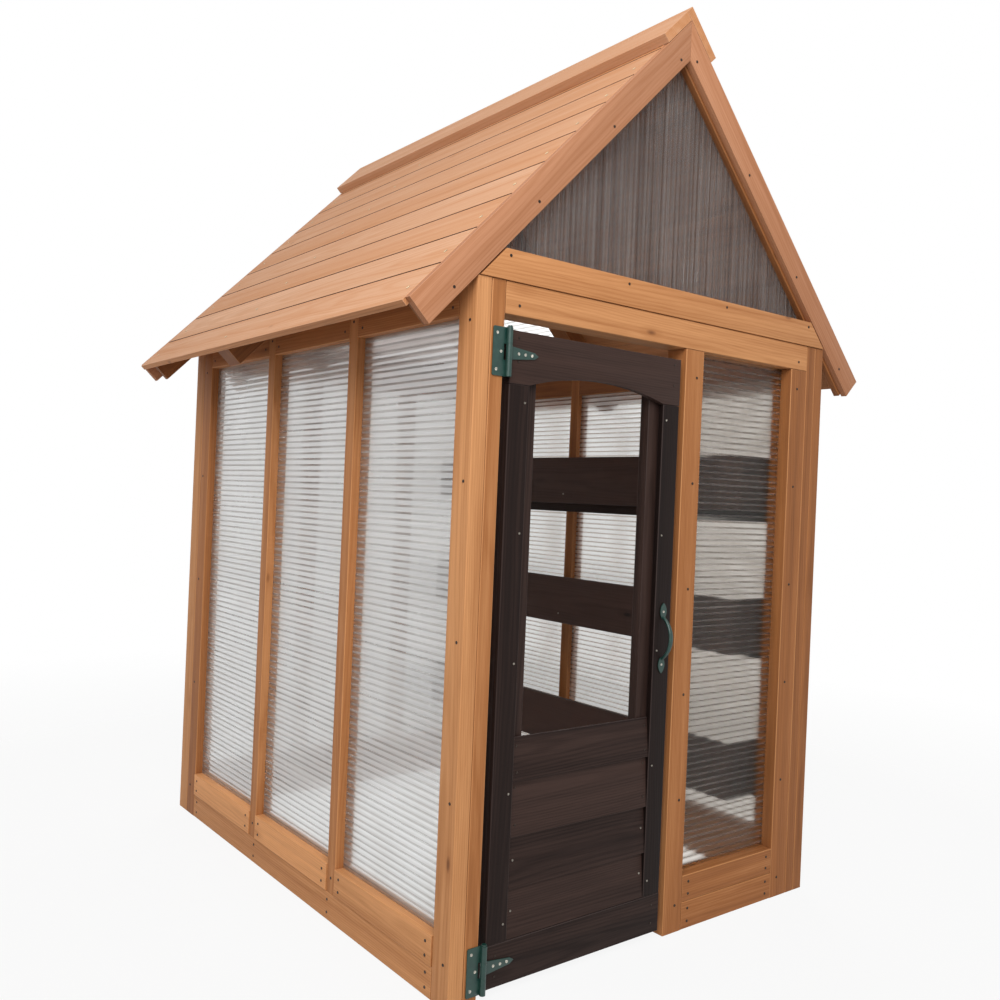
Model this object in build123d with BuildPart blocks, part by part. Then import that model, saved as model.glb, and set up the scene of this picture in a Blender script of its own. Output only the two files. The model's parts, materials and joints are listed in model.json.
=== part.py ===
from build123d import *
import math
import os

# Walk-in timber greenhouse, millimetres, +Z up.
# The door faces -Y, the hinge side is -X, and z = 0 is the ground.

# Walls
WALL_W = 1600.0
WALL_D = 2046.0
WALL_H = 2000.0
POST_W = 50.0
FRAME_D = 84.0
STUD_FACE = 54.0
STUD_DEPTH = 66.0
BASE_H = 92.0
SILL_H = 88.0
SILL_PROUD = 4.0
SIDE_RAIL_H = 104.0
HEADER_H = 92.0
EASE = 2.0

# Panes
PANE_T = 10.0
SIDE_PANE_IN = 32.0
END_PANE_IN = 46.0
GROOVE = 10.0
GROOVE_FIT = 0.15
PANE_PLAY = 0.5

# Front wall, measured from the middle of the wall
HINGE_POST_W = 48.0
LATCH_STUD_X = 48.0
LATCH_STUD_W = 88.0
RIGHT_STUD_W = 90.0
FRONT_SILL_D = 70.0

# Roof
PITCH = 45.8
BARGE_W = 90.0
BARGE_T = 24.0
GABLE_PROUD = 6.0
BACK_OVERHANG = 76.0
EAVE_RUN = 219.0
BOARD_T = 20.0
BOARDS = 9
LIGHT_FIRST = 2
LIGHT_LAST = 5
EAVE_DRIP = 10.0
TONGUE = 7.0
TONGUE_T = 6.0
TONGUE_FIT = 0.25
SEAM = 3.0
JOINT = 0.2
RAFTER_D = 78.0
RAFTER_T = 24.0
MID_RAFTER_W = 96.0
RAFTER_SHORT = 10.0
CAP_W = 145.0
CAP_T = 32.0
TIE_H = 88.0
TIE_GAP = 4.0
GABLE_PANE_GAP = 4.0
GABLE_PANE_SIDE = 5.0

# Door
DOOR_SIDE_GAP = 24.0
DOOR_Z0 = 26.0
DOOR_TOP_GAP = 40.0
DOOR_FACE_T = 22.0
DOOR_INNER_T = 38.0
DOOR_STILE = 75.0
DOOR_TOP_RAIL = 150.0
DOOR_BOTTOM_RAIL = 124.0
ARCH_RISE = 40.0
INNER_MARGIN = 118.0
INNER_SET_IN = 6.0
SIDING_SHOWS = (141.0, 147.0, 159.0, 125.0)
SIDING_LAP = 15.0
SIDING_THICK = 20.0
SIDING_THIN = 9.0
SIDING_REBATE = 10.6

# Hinges
BARREL_R = 9.0
PIN_R = 4.0
PIN_CLEAR = 0.05
PIN_HEAD_R = 7.0
PIN_HEAD_H = 5.0
PLATE_T = 3.0
LEAF_W = 38.0
LEAF_H = 136.0
LEAF_EDGE = 14.0
LEAF_ROUND = 5.0
KNUCKLE_GAP = 0.4
STRAP_REACH = 112.0
STRAP_H = 40.0
STRAP_TIP_H = 18.0
STRAP_POINT = 14.0
HINGE_IN = 66.0

# Handle
HANDLE_Z = 973.0
HANDLE_SPAN = 134.0
HANDLE_REACH = 44.0
BOW_END_R = 4.5
BOW_MID_W = 16.0
BOW_MID_T = 11.0
SPADE_L = 50.0
SPADE_W = 28.0
SPADE_NECK = 12.0
SPADE_WIDEST = 0.4

# Shelves on the right wall
SHELF_X = 450.0
SHELF_RIMS = (553.0, 1071.0, 1588.0)
SHELF_FRONT_H = 200.0
SHELF_BOARD_T = 20.0
SHELF_FLOOR_UP = 30.0
SLAT_T = 18.0
SLAT_W = 140.0
SLATS = 12
BEARER_H = 69.0
BEARER_T = 30.0

# Derived positions; the whole part is centred on the origin in plan
HALF_W = WALL_W / 2
FRONT = (HANDLE_REACH - WALL_D - BACK_OVERHANG) / 2
BACK = FRONT + WALL_D
SIDE_END = BACK - FRAME_D
SILL_Z = BASE_H + SILL_H
HEADER_Z = WALL_H - HEADER_H
SIDE_BAY = (SIDE_END - FRONT - 2 * FRAME_D - 2 * STUD_FACE) / 3
BACK_BAY = (WALL_W - 2 * POST_W - 2 * STUD_FACE) / 3
SIDE_IN = HALF_W - STUD_DEPTH
POST_IN = HALF_W - POST_W
JAMB_X = POST_IN - HINGE_POST_W
PANE_X0 = LATCH_STUD_X + LATCH_STUD_W
PANE_X1 = JAMB_X - RIGHT_STUD_W
DOOR_X0 = -JAMB_X + DOOR_SIDE_GAP
DOOR_X1 = LATCH_STUD_X - DOOR_SIDE_GAP
DOOR_Z1 = HEADER_Z - DOOR_TOP_GAP
HINGE_Z = (DOOR_Z0 + HINGE_IN, DOOR_Z1 - HINGE_IN)
COS = math.cos(math.radians(PITCH))
SIN = math.sin(math.radians(PITCH))
EAVE_X = HALF_W + EAVE_RUN
EAVE_Z = WALL_H + BARGE_W / COS - EAVE_RUN * SIN / COS
SLOPE_LEN = EAVE_X / COS
ROOF_Y0 = FRONT - GABLE_PROUD + BARGE_T
ROOF_Y1 = BACK + BACK_OVERHANG - BARGE_T

os.makedirs("parts", exist_ok=True)


def save(piece, name):
    piece.part.label = name
    export_step(piece.part, f"parts/{name}.step")


def timber(plane, u0, u1, v0, v1, slots=()):
    """Board section with eased corners; each slot is a groove in it."""
    with BuildSketch(plane) as section:
        with Locations(((u0 + u1) / 2, (v0 + v1) / 2)):
            Rectangle(abs(u1 - u0), abs(v1 - v0))
        chamfer(section.vertices(), EASE)
        for a0, a1, b0, b1 in slots:
            with Locations(((a0 + a1) / 2, (b0 + b1) / 2)):
                Rectangle(abs(a1 - a0), abs(b1 - b0), mode=Mode.SUBTRACT)
    return section.sketch


def outline(plane, points):
    with BuildSketch(plane) as section:
        with BuildLine():
            Polyline(*points, close=True)
        make_face()
    return section.sketch


def level(z):
    return Plane.XY.offset(z)


def toward_front(y):
    """Upright plane across the house; extrusions from it run to -Y."""
    return Plane.XZ.offset(-y)


def toward_right(x):
    """Upright plane along the house; extrusions from it run to +X."""
    return Plane.YZ.offset(x)


def bays(start, face, width):
    """Start and end of three equal bays divided by two studs."""
    step = width + face
    return [(start + i * step, start + i * step + width) for i in range(3)]


SIDE_BAYS = bays(FRONT + FRAME_D, STUD_FACE, SIDE_BAY)
BACK_BAYS = bays(-POST_IN, STUD_FACE, BACK_BAY)
STUDS_Y = [SIDE_BAYS[0][1], SIDE_BAYS[1][1]]
STUDS_X = [BACK_BAYS[0][1], BACK_BAYS[1][1]]


def side_groove_x(side):
    """Pane groove in a side wall, across the wall's thickness."""
    outer = side * (HALF_W - SIDE_PANE_IN + GROOVE_FIT)
    inner = side * (HALF_W - SIDE_PANE_IN - PANE_T - GROOVE_FIT)
    return outer, inner


def end_groove_y(face, inward):
    """Pane groove in the front or back wall, behind the outer face."""
    near = face + inward * (END_PANE_IN - GROOVE_FIT)
    far = face + inward * (END_PANE_IN + PANE_T + GROOVE_FIT)
    return near, far


# Side walls, left is -1 and right is +1
for side, hand in ((-1, "left"), (1, "right")):
    gx0, gx1 = side_groove_x(side)
    outer = side * HALF_W
    stud_in = side * SIDE_IN

    with BuildPart() as post_front:
        y1 = FRONT + FRAME_D
        slot = (gx0, gx1, y1 - GROOVE, y1)
        extrude(timber(level(0), outer, side * POST_IN, FRONT, y1, [slot]), amount=WALL_H)
    save(post_front, f"{hand}_post_front")

    with BuildPart() as post_back:
        y0 = SIDE_END - FRAME_D
        slot = (gx0, gx1, y0, y0 + GROOVE)
        extrude(timber(level(0), outer, side * POST_IN, y0, SIDE_END, [slot]), amount=WALL_H)
    save(post_back, f"{hand}_post_back")

    with BuildPart() as studs:
        for y0 in STUDS_Y:
            y1 = y0 + STUD_FACE
            slots = [(gx0, gx1, y0, y0 + GROOVE), (gx0, gx1, y1 - GROOVE, y1)]
            extrude(timber(level(BASE_H), outer, stud_in, y0, y1, slots), amount=WALL_H - BASE_H)
    save(studs, f"{hand}_studs")

    with BuildPart() as bottom_board:
        y0, y1 = SIDE_BAYS[0][0], SIDE_BAYS[2][1]
        extrude(timber(toward_front(y1), outer, stud_in, 0, BASE_H), amount=y1 - y0)
    save(bottom_board, f"{hand}_bottom_board")

    with BuildPart() as sills:
        for y0, y1 in SIDE_BAYS:
            slot = (gx0, gx1, SILL_Z - GROOVE, SILL_Z)
            proud = outer + side * SILL_PROUD
            extrude(timber(toward_front(y1), proud, stud_in, BASE_H, SILL_Z, [slot]), amount=y1 - y0)
    save(sills, f"{hand}_sills")

    with BuildPart() as top_rails:
        z0 = WALL_H - SIDE_RAIL_H
        for y0, y1 in SIDE_BAYS:
            slot = (gx0, gx1, z0, z0 + GROOVE)
            extrude(timber(toward_front(y1), outer, stud_in, z0, WALL_H, [slot]), amount=y1 - y0)
    save(top_rails, f"{hand}_top_rails")

    with BuildPart() as panes:
        x = side * (HALF_W - SIDE_PANE_IN - PANE_T / 2)
        z0 = SILL_Z - GROOVE
        z1 = WALL_H - SIDE_RAIL_H + GROOVE - PANE_PLAY
        for y0, y1 in SIDE_BAYS:
            with BuildSketch(level(z0)):
                with Locations((x, (y0 + y1) / 2)):
                    Rectangle(PANE_T, y1 - y0 + 2 * (GROOVE - PANE_PLAY))
            extrude(amount=z1 - z0)
    save(panes, f"{hand}_panes")


# Front wall
FRONT_IN = FRONT + FRAME_D
FGY0, FGY1 = end_groove_y(FRONT, 1)

with BuildPart() as front_hinge_post:
    extrude(timber(level(0), -POST_IN, -JAMB_X, FRONT, FRONT_IN), amount=WALL_H)
save(front_hinge_post, "front_hinge_post")

with BuildPart() as front_right_post:
    extrude(timber(level(0), JAMB_X, POST_IN, FRONT, FRONT_IN), amount=WALL_H)
save(front_right_post, "front_right_post")

with BuildPart() as front_latch_stud:
    slot = (PANE_X0 - GROOVE, PANE_X0, FGY0, FGY1)
    extrude(timber(level(0), LATCH_STUD_X, PANE_X0, FRONT, FRONT_IN, [slot]), amount=HEADER_Z)
save(front_latch_stud, "front_latch_stud")

with BuildPart() as front_right_stud:
    slot = (PANE_X1, PANE_X1 + GROOVE, FGY0, FGY1)
    extrude(timber(level(0), PANE_X1, JAMB_X, FRONT, FRONT_IN, [slot]), amount=HEADER_Z)
save(front_right_stud, "front_right_stud")

with BuildPart() as front_header:
    extrude(timber(toward_right(-JAMB_X), FRONT, FRONT_IN, HEADER_Z, WALL_H), amount=2 * JAMB_X)
    with BuildSketch(level(HEADER_Z)):
        with Locations(((PANE_X0 + PANE_X1) / 2, (FGY0 + FGY1) / 2)):
            Rectangle(PANE_X1 - PANE_X0 + 2 * GROOVE, FGY1 - FGY0)
    extrude(amount=GROOVE, mode=Mode.SUBTRACT)
save(front_header, "front_header")

with BuildPart() as front_bottom_board:
    section = timber(toward_right(PANE_X0), FRONT, FRONT + FRONT_SILL_D, 0, BASE_H)
    extrude(section, amount=PANE_X1 - PANE_X0)
save(front_bottom_board, "front_bottom_board")

with BuildPart() as front_sill:
    slot = (FGY0, FGY1, SILL_Z - GROOVE, SILL_Z)
    section = timber(toward_right(PANE_X0), FRONT, FRONT + FRONT_SILL_D, BASE_H, SILL_Z, [slot])
    extrude(section, amount=PANE_X1 - PANE_X0)
save(front_sill, "front_sill")

with BuildPart() as front_pane:
    z0 = SILL_Z - GROOVE
    with BuildSketch(level(z0)):
        with Locations(((PANE_X0 + PANE_X1) / 2, FRONT + END_PANE_IN + PANE_T / 2)):
            Rectangle(PANE_X1 - PANE_X0 + 2 * (GROOVE - PANE_PLAY), PANE_T)
    extrude(amount=HEADER_Z + GROOVE - PANE_PLAY - z0)
save(front_pane, "front_pane")


# Back wall, which closes the ends of the side walls
BACK_IN = BACK - FRAME_D
BGY0, BGY1 = end_groove_y(BACK, -1)

with BuildPart() as back_posts:
    for side in (-1, 1):
        inner = side * POST_IN
        slot = (inner, inner + side * GROOVE, BGY0, BGY1)
        extrude(timber(level(0), side * HALF_W, inner, BACK_IN, BACK, [slot]), amount=WALL_H)
save(back_posts, "back_posts")

with BuildPart() as back_studs:
    for x0 in STUDS_X:
        x1 = x0 + STUD_FACE
        slots = [(x0, x0 + GROOVE, BGY0, BGY1), (x1 - GROOVE, x1, BGY0, BGY1)]
        section = timber(level(BASE_H), x0, x1, BACK_IN, BACK, slots)
        extrude(section, amount=HEADER_Z - BASE_H)
save(back_studs, "back_studs")

with BuildPart() as back_header:
    slot = (BGY0, BGY1, HEADER_Z, HEADER_Z + GROOVE)
    section = timber(toward_right(-POST_IN), BACK_IN, BACK, HEADER_Z, WALL_H, [slot])
    extrude(section, amount=2 * POST_IN)
save(back_header, "back_header")

with BuildPart() as back_bottom_board:
    extrude(timber(toward_right(-POST_IN), BACK_IN, BACK, 0, BASE_H), amount=2 * POST_IN)
save(back_bottom_board, "back_bottom_board")

with BuildPart() as back_sills:
    slot = (BGY0, BGY1, SILL_Z - GROOVE, SILL_Z)
    for x0, x1 in BACK_BAYS:
        section = timber(toward_right(x0), BACK_IN, BACK + SILL_PROUD, BASE_H, SILL_Z, [slot])
        extrude(section, amount=x1 - x0)
save(back_sills, "back_sills")

with BuildPart() as back_panes:
    z0 = SILL_Z - GROOVE
    for x0, x1 in BACK_BAYS:
        with BuildSketch(level(z0)):
            with Locations(((x0 + x1) / 2, BACK - END_PANE_IN - PANE_T / 2)):
                Rectangle(x1 - x0 + 2 * (GROOVE - PANE_PLAY), PANE_T)
        extrude(amount=HEADER_Z + GROOVE - PANE_PLAY - z0)
save(back_panes, "back_panes")


# Roof geometry: s runs up the slope from the barge end, n stands out of the roof's top face
def on_slope(s, n):
    return EAVE_X - s * COS + n * SIN, EAVE_Z + s * SIN + n * COS


def ridge_s(n):
    """Distance up the slope at which a line parallel to it meets the middle."""
    return (EAVE_X + n * SIN) / COS


def x_at_height(n, z):
    """Distance from the middle at which a line parallel to the slope is at a height."""
    return EAVE_X + n * SIN - (z - EAVE_Z - n * COS) * COS / SIN


def on_side(points, side):
    return [(side * x, z) for x, z in points]


BARGE_LINE = [
    on_slope(0, 0),
    on_slope(0, -BARGE_W),
    on_slope(ridge_s(-BARGE_W), -BARGE_W),
    on_slope(ridge_s(0), 0),
]
BARGES = (
    ("front_barge", FRONT - GABLE_PROUD + BARGE_T),
    ("back_barge", BACK + BACK_OVERHANG),
)
for name, y1 in BARGES:
    for side, hand in ((-1, "left"), (1, "right")):
        with BuildPart() as barge:
            extrude(outline(toward_front(y1), on_side(BARGE_LINE, side)), amount=BARGE_T)
        save(barge, f"{name}_{hand}")

# Rafters have a notch that sits on the wall tops, and a hairline joint at the ridge
RAFTER_LOW = -BOARD_T - RAFTER_D
SEAT_IN = x_at_height(RAFTER_LOW, WALL_H)
SEAT_OUT_Z = EAVE_Z + (EAVE_X + RAFTER_LOW * SIN - HALF_W) * SIN / COS + RAFTER_LOW * COS
RAFTER_LINE = [
    on_slope(RAFTER_SHORT, -BOARD_T),
    on_slope(RAFTER_SHORT, RAFTER_LOW),
    (HALF_W, SEAT_OUT_Z),
    (HALF_W, WALL_H),
    (SEAT_IN, WALL_H),
    on_slope(ridge_s(RAFTER_LOW) - JOINT, RAFTER_LOW),
    on_slope(ridge_s(-BOARD_T) - JOINT, -BOARD_T),
]
MID_RAFTER_Y1 = STUDS_Y[1] + (STUD_FACE + MID_RAFTER_W) / 2
BACK_RAFTER_Y1 = BACK + GABLE_PROUD - BARGE_T
RAFTERS = (
    ("rafters_front", ROOF_Y0 + RAFTER_T, RAFTER_T),
    ("rafters_mid", MID_RAFTER_Y1, MID_RAFTER_W),
    ("rafters_back", BACK_RAFTER_Y1, RAFTER_T),
)
for name, y1, width in RAFTERS:
    with BuildPart() as rafters:
        for side in (-1, 1):
            extrude(outline(toward_front(y1), on_side(RAFTER_LINE, side)), amount=width)
    save(rafters, name)

# Tie boards stand on the wall tops, with their ends cut to the slope of the barges
TIE_LINE = -BARGE_W - TIE_GAP
TIE_HALF_LOW = x_at_height(TIE_LINE, WALL_H)
TIE_HALF_HIGH = x_at_height(TIE_LINE, WALL_H + TIE_H)
TIE_SHAPE = [
    (-TIE_HALF_LOW, WALL_H),
    (TIE_HALF_LOW, WALL_H),
    (TIE_HALF_HIGH, WALL_H + TIE_H),
    (-TIE_HALF_HIGH, WALL_H + TIE_H),
]
for name, y1 in (("front_tie", ROOF_Y0), ("back_tie", BACK + GABLE_PROUD)):
    with BuildPart() as tie:
        extrude(outline(toward_front(y1), TIE_SHAPE), amount=BARGE_T)
    save(tie, name)

# Gable panes stand on the wall tops behind the rafters
GABLE_PANE_HALF = POST_IN - GABLE_PANE_SIDE
GABLE_LINE = -BOARD_T - GABLE_PANE_GAP
GABLE_SIDE_Z = EAVE_Z + (EAVE_X + GABLE_LINE * SIN - GABLE_PANE_HALF) * SIN / COS + GABLE_LINE * COS
GABLE_SHAPE = [
    (-GABLE_PANE_HALF, WALL_H),
    (GABLE_PANE_HALF, WALL_H),
    (GABLE_PANE_HALF, GABLE_SIDE_Z),
    on_slope(ridge_s(GABLE_LINE), GABLE_LINE),
    (-GABLE_PANE_HALF, GABLE_SIDE_Z),
]
GABLE_PANES = (
    ("front_gable_pane", ROOF_Y0 + RAFTER_T + PANE_T),
    ("back_gable_pane", BACK_RAFTER_Y1 - RAFTER_T),
)
for name, y1 in GABLE_PANES:
    with BuildPart() as gable_pane:
        extrude(outline(toward_front(y1), GABLE_SHAPE), amount=PANE_T)
    save(gable_pane, name)

# Tongue-and-groove roof boards, counted up from the eave
BOARD_COVER = (SLOPE_LEN + EAVE_DRIP) / BOARDS


def lower_edge(s, first):
    """Lower edge of a roof board, from the underside to the top face."""
    if first:
        return [(s, -BOARD_T), (s, 0)]
    half = TONGUE_T / 2 + TONGUE_FIT
    mid = -BOARD_T / 2
    deep = s + TONGUE + TONGUE_FIT
    return [
        (s, -BOARD_T), (s, mid - half), (deep, mid - half),
        (deep, mid + half), (s, mid + half), (s, 0),
    ]


def upper_edge(s, last):
    """Upper edge of a roof board, cut back above its tongue so that a joint shows."""
    if last:
        return [(ridge_s(0), 0), (ridge_s(-BOARD_T), -BOARD_T)]
    half = TONGUE_T / 2
    mid = -BOARD_T / 2
    return [
        (s - SEAM, 0), (s - SEAM, mid + half), (s + TONGUE, mid + half),
        (s + TONGUE, mid - half), (s, mid - half), (s, -BOARD_T),
    ]


def course(i):
    """Where a roof board starts and ends up the slope."""
    s0 = i * BOARD_COVER - EAVE_DRIP
    return s0, s0 + BOARD_COVER - JOINT


# Some boards of the right slope stop on the middle rafter, in front of a clear pane
LIGHT_Y = MID_RAFTER_Y1 - MID_RAFTER_W / 2
for side, hand in ((-1, "left"), (1, "right")):
    with BuildPart() as roof_boards:
        for i in range(BOARDS):
            s0, s1 = course(i)
            edge = lower_edge(s0, i == 0) + upper_edge(s1, i == BOARDS - 1)
            points = on_side([on_slope(s, n) for s, n in edge], side)
            short = side > 0 and LIGHT_FIRST <= i <= LIGHT_LAST
            y1 = LIGHT_Y if short else ROOF_Y1
            extrude(outline(toward_front(y1), points), amount=y1 - ROOF_Y0)
    save(roof_boards, f"roof_boards_{hand}")

# The clear pane lies on the middle and back rafters, above the tongue of the board below it
LIGHT_S0 = course(LIGHT_FIRST)[0] + TONGUE + PANE_PLAY
LIGHT_S1 = course(LIGHT_LAST)[1] - PANE_PLAY
LIGHT_LINE = [
    on_slope(LIGHT_S0, -BOARD_T),
    on_slope(LIGHT_S1, -BOARD_T),
    on_slope(LIGHT_S1, PANE_T - BOARD_T),
    on_slope(LIGHT_S0, PANE_T - BOARD_T),
]
with BuildPart() as right_roof_pane:
    extrude(outline(toward_front(ROOF_Y1), LIGHT_LINE), amount=ROOF_Y1 - LIGHT_Y - PANE_PLAY)
save(right_roof_pane, "right_roof_pane")

# Ridge cap; the right board laps over the top edge of the left one
CAP_LOW = SLOPE_LEN - CAP_W
RIDGE_Z = on_slope(SLOPE_LEN, 0)[1]
CAP_PEAK_Z = RIDGE_Z + CAP_T / COS
LAP_X = -CAP_T / COS / 2 * COS / SIN
LAP_Z = (RIDGE_Z + CAP_PEAK_Z) / 2
CAP_LEFT = on_side([on_slope(CAP_LOW, 0), on_slope(CAP_LOW, CAP_T)], -1)
CAP_LEFT += [(LAP_X, LAP_Z), (0, RIDGE_Z)]
CAP_RIGHT = [on_slope(CAP_LOW, 0), on_slope(CAP_LOW, CAP_T), (0, CAP_PEAK_Z), (LAP_X, LAP_Z)]
for name, shape in (("ridge_cap_left", CAP_LEFT), ("ridge_cap_right", CAP_RIGHT)):
    with BuildPart() as ridge_cap:
        y1 = BACK + BACK_OVERHANG
        extrude(outline(toward_front(y1), shape), amount=y1 - FRONT + GABLE_PROUD)
    save(ridge_cap, name)


# Door: a face layer of rails, stiles and siding on a layer of inner stiles
FACE_BACK = FRONT + DOOR_FACE_T
STILE_IN0 = DOOR_X0 + DOOR_STILE
STILE_IN1 = DOOR_X1 - DOOR_STILE
RAIL_Z = DOOR_Z1 - DOOR_TOP_RAIL
BOTTOM_RAIL_Z = DOOR_Z0 + DOOR_BOTTOM_RAIL
DOOR_MID_X = (DOOR_X0 + DOOR_X1) / 2

with BuildPart() as door_top_rail:
    with BuildSketch(toward_front(FACE_BACK)):
        with BuildLine():
            ends = Polyline(
                (STILE_IN1, RAIL_Z), (DOOR_X1, RAIL_Z), (DOOR_X1, DOOR_Z1),
                (DOOR_X0, DOOR_Z1), (DOOR_X0, RAIL_Z), (STILE_IN0, RAIL_Z),
            )
            ThreePointArc(ends @ 1, (DOOR_MID_X, RAIL_Z + ARCH_RISE), ends @ 0)
        make_face()
    extrude(amount=DOOR_FACE_T)
save(door_top_rail, "door_top_rail")

with BuildPart() as door_bottom_rail:
    section = timber(toward_right(DOOR_X0), FRONT, FACE_BACK, DOOR_Z0, BOTTOM_RAIL_Z)
    extrude(section, amount=DOOR_X1 - DOOR_X0)
save(door_bottom_rail, "door_bottom_rail")

STILES = (
    ("door_stile_hinge_side", DOOR_X0, STILE_IN0),
    ("door_stile_latch_side", STILE_IN1, DOOR_X1),
)
for name, x0, x1 in STILES:
    with BuildPart() as stile:
        section = timber(level(BOTTOM_RAIL_Z), x0, x1, FRONT, FACE_BACK)
        extrude(section, amount=RAIL_Z - BOTTOM_RAIL_Z)
    save(stile, name)

INNER_STILES = (
    ("door_inner_stile_hinge_side", DOOR_X0 + INNER_SET_IN, DOOR_X0 + INNER_MARGIN),
    ("door_inner_stile_latch_side", DOOR_X1 - INNER_MARGIN, DOOR_X1 - INNER_SET_IN),
)
for name, x0, x1 in INNER_STILES:
    with BuildPart() as inner_stile:
        section = timber(level(DOOR_Z0 + INNER_SET_IN), x0, x1, FACE_BACK, FACE_BACK + DOOR_INNER_T)
        extrude(section, amount=DOOR_Z1 - DOOR_Z0 - 2 * INNER_SET_IN)
    save(inner_stile, name)

# Bevelled siding; each board's lower back edge is rebated over the board below
with BuildPart() as door_siding:
    for i, shown in enumerate(SIDING_SHOWS):
        low = BOTTOM_RAIL_Z + sum(SIDING_SHOWS[:i])
        top = low + shown
        if i < len(SIDING_SHOWS) - 1:
            top += SIDING_LAP
        points = [(FACE_BACK, top), (FACE_BACK - SIDING_THIN, top), (FACE_BACK - SIDING_THICK, low)]
        if i == 0:
            points += [(FACE_BACK, low)]
        else:
            rebate = FACE_BACK - SIDING_REBATE
            over = low + SIDING_LAP + JOINT
            points += [(rebate, low), (rebate, over), (FACE_BACK, over)]
        extrude(outline(toward_right(STILE_IN0), points), amount=STILE_IN1 - STILE_IN0)
save(door_siding, "door_siding")


# T-hinges: leaf knuckles above and below, strap knuckle between, pin through all three
PIN_X = DOOR_X0 - DOOR_SIDE_GAP / 2
PIN_Y = FRONT - BARREL_R
KNUCKLE_H = LEAF_H / 3
LEAF_X1 = PIN_X - LEAF_EDGE
STRAP_KNUCKLE_H = KNUCKLE_H - 2 * KNUCKLE_GAP


def knuckle_section(z):
    with BuildSketch(level(z)) as section:
        with Locations((PIN_X, PIN_Y)):
            Circle(BARREL_R)
            Circle(PIN_R + PIN_CLEAR, mode=Mode.SUBTRACT)
    return section.sketch


def web_section(z, x_out):
    """Plate between the barrel and the rest of the hinge, clear of the bore."""
    with BuildSketch(level(z)) as section:
        with Locations(((PIN_X + x_out) / 2, FRONT - PLATE_T / 2)):
            Rectangle(abs(x_out - PIN_X), PLATE_T)
    return section.sketch


with BuildPart() as hinge_leaves:
    for z in HINGE_Z:
        with BuildSketch(toward_front(FRONT)) as leaf:
            with Locations((LEAF_X1 - LEAF_W / 2, z)):
                Rectangle(LEAF_W, LEAF_H)
            fillet(leaf.vertices().sort_by(Axis.X)[:2], LEAF_ROUND)
        extrude(amount=PLATE_T)
        for z0 in (z - LEAF_H / 2, z + LEAF_H / 2 - KNUCKLE_H):
            extrude(knuckle_section(z0), amount=KNUCKLE_H)
            extrude(web_section(z0, LEAF_X1), amount=KNUCKLE_H)
save(hinge_leaves, "hinge_leaves")

with BuildPart() as hinge_straps:
    for z in HINGE_Z:
        z0 = z - STRAP_KNUCKLE_H / 2
        tip = PIN_X + STRAP_REACH
        points = [
            (PIN_X, z - STRAP_H / 2), (tip - STRAP_POINT, z - STRAP_TIP_H / 2), (tip, z),
            (tip - STRAP_POINT, z + STRAP_TIP_H / 2), (PIN_X, z + STRAP_H / 2),
        ]
        extrude(outline(toward_front(FRONT), points), amount=PLATE_T)
        extrude(knuckle_section(z0), amount=STRAP_KNUCKLE_H)
save(hinge_straps, "hinge_straps")

with BuildPart() as hinge_pins:
    for z in HINGE_Z:
        top = z + LEAF_H / 2
        with BuildSketch(level(z - LEAF_H / 2)):
            with Locations((PIN_X, PIN_Y)):
                Circle(PIN_R)
        extrude(amount=LEAF_H)
        with BuildSketch(level(top)):
            with Locations((PIN_X, PIN_Y)):
                Circle(PIN_HEAD_R)
        extrude(amount=PIN_HEAD_H)
save(hinge_pins, "hinge_pins")


# Bow handle, widest at its middle, with a pointed spade at each end
HANDLE_X = (STILE_IN1 + DOOR_X1) / 2
BOW_Y0 = FRONT - PLATE_T / 2
BOW_Y1 = FRONT - HANDLE_REACH + BOW_MID_T / 2
BOW_SECTIONS = ((0, BOW_END_R, BOW_END_R), (0.5, BOW_MID_W / 2, BOW_MID_T / 2), (1, BOW_END_R, BOW_END_R))
with BuildPart() as door_handle:
    with BuildLine() as bow_path:
        ThreePointArc(
            (HANDLE_X, BOW_Y0, HANDLE_Z - HANDLE_SPAN / 2),
            (HANDLE_X, BOW_Y1, HANDLE_Z),
            (HANDLE_X, BOW_Y0, HANDLE_Z + HANDLE_SPAN / 2),
        )
    bow = bow_path.line
    for share, half_wide, half_thick in BOW_SECTIONS:
        with BuildSketch(Plane(origin=bow @ share, x_dir=(1, 0, 0), z_dir=bow % share)):
            Ellipse(half_wide, half_thick)
    sweep(multisection=True)
    for up in (-1, 1):
        neck = HANDLE_Z + up * (HANDLE_SPAN / 2 - BOW_END_R)
        wide = neck + up * SPADE_L * SPADE_WIDEST
        tip = (HANDLE_X, neck + up * SPADE_L)
        with BuildSketch(toward_front(FRONT)):
            with BuildLine():
                left = ThreePointArc((HANDLE_X - SPADE_NECK / 2, neck), (HANDLE_X - SPADE_W / 2, wide), tip)
                right = ThreePointArc((HANDLE_X + SPADE_NECK / 2, neck), (HANDLE_X + SPADE_W / 2, wide), tip)
                Line(left @ 0, right @ 0)
            make_face()
        extrude(amount=PLATE_T)
    with BuildSketch(toward_front(FRONT + HANDLE_REACH)):
        with Locations((HANDLE_X, HANDLE_Z)):
            Rectangle(SPADE_W * 2, HANDLE_SPAN * 2)
    extrude(amount=HANDLE_REACH, mode=Mode.SUBTRACT)
save(door_handle, "door_handle")


# Trough shelves along the right wall
SHELF_Y0 = FRONT_IN + SHELF_BOARD_T
SHELF_Y1 = BACK_IN - SHELF_BOARD_T
SHELF_IN = SHELF_X + SHELF_BOARD_T
SHELF_LOWS = [rim - SHELF_FRONT_H for rim in SHELF_RIMS]
SLAT_PITCH = (SHELF_Y1 - SHELF_Y0) / SLATS

with BuildPart() as shelf_fronts:
    for low in SHELF_LOWS:
        section = timber(toward_front(BACK_IN), SHELF_X, SHELF_IN, low, low + SHELF_FRONT_H)
        extrude(section, amount=BACK_IN - FRONT_IN)
save(shelf_fronts, "shelf_fronts")

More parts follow.
